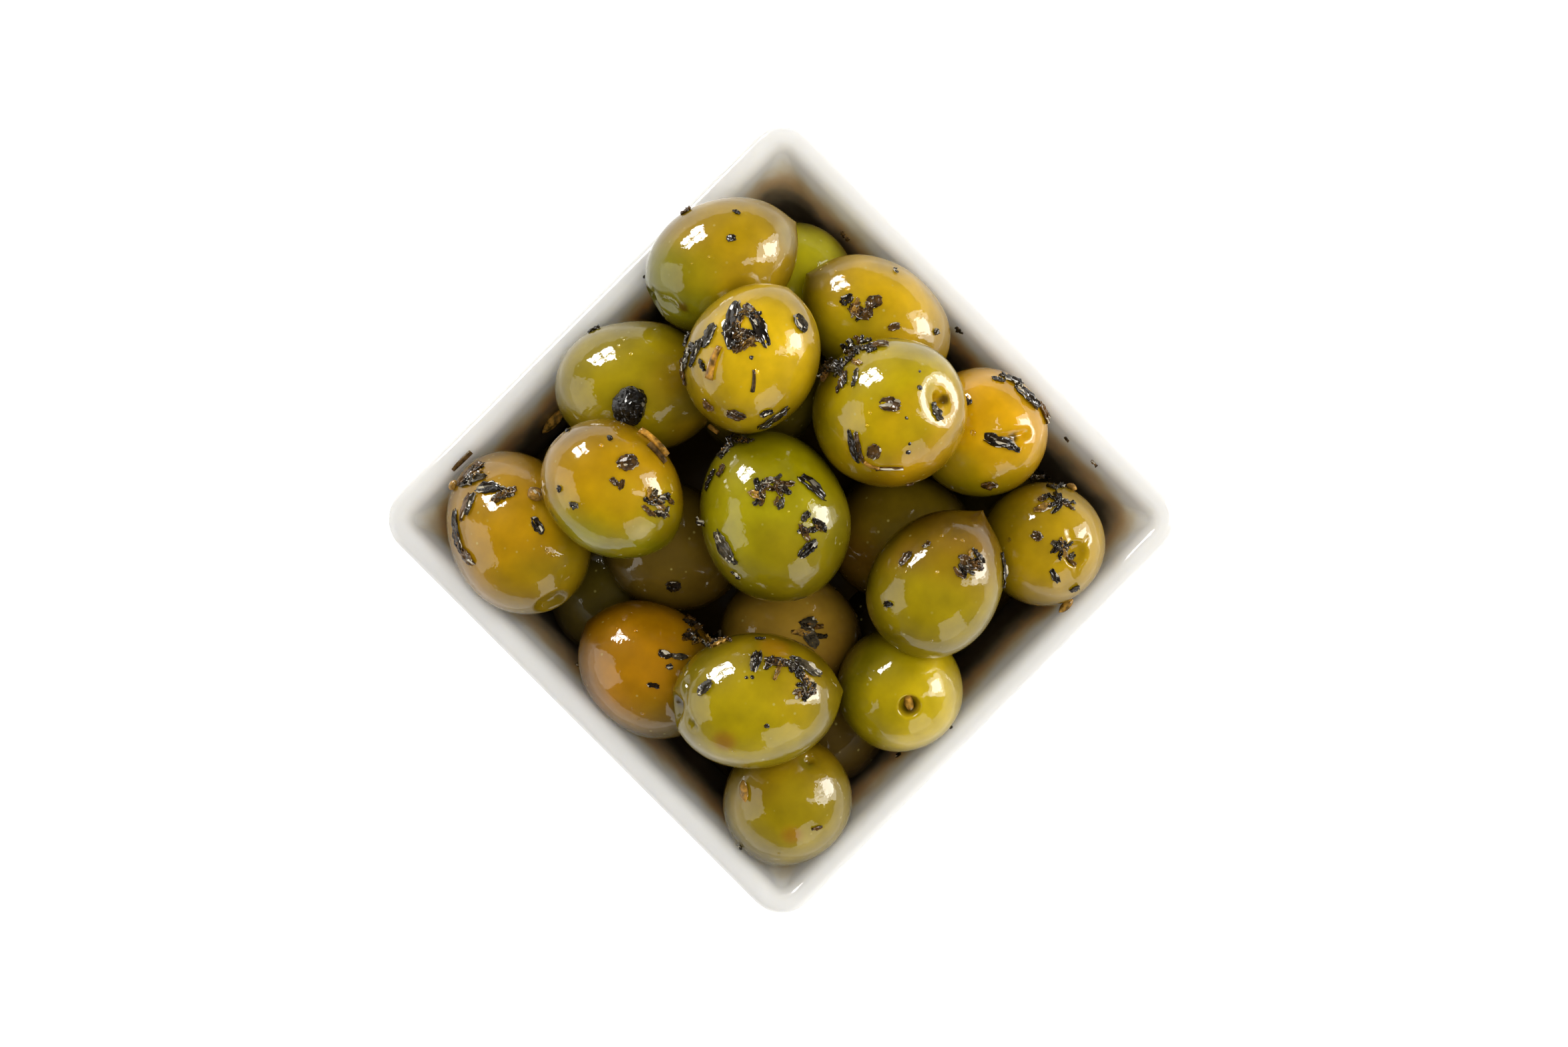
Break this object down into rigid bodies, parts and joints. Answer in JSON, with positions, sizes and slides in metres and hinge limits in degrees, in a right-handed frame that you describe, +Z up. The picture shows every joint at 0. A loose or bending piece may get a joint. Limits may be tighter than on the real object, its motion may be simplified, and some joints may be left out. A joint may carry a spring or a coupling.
{
  "type": "bowl of olives",
  "caption": "Square white porcelain bowl heaped with pitted green olives in oil, strewn with dried herb leaves, stalks and seeds.",
  "frame": {"origin": "the middle of the bowl's flat underside", "axes": "+Z up out of the bowl; the four walls face +X, -X, +Y and -Y"},
  "size_m": [0.08, 0.08, 0.0633],
  "materials": {
    "porcelain": "smooth white glaze",
    "olives": "taut olive skins, yellow-green to amber and brown, wet with oil"
  },
  "bodies": {
    "root": {"bowl": "porcelain", "olives": "olives"}
  },
  "joints": []
}
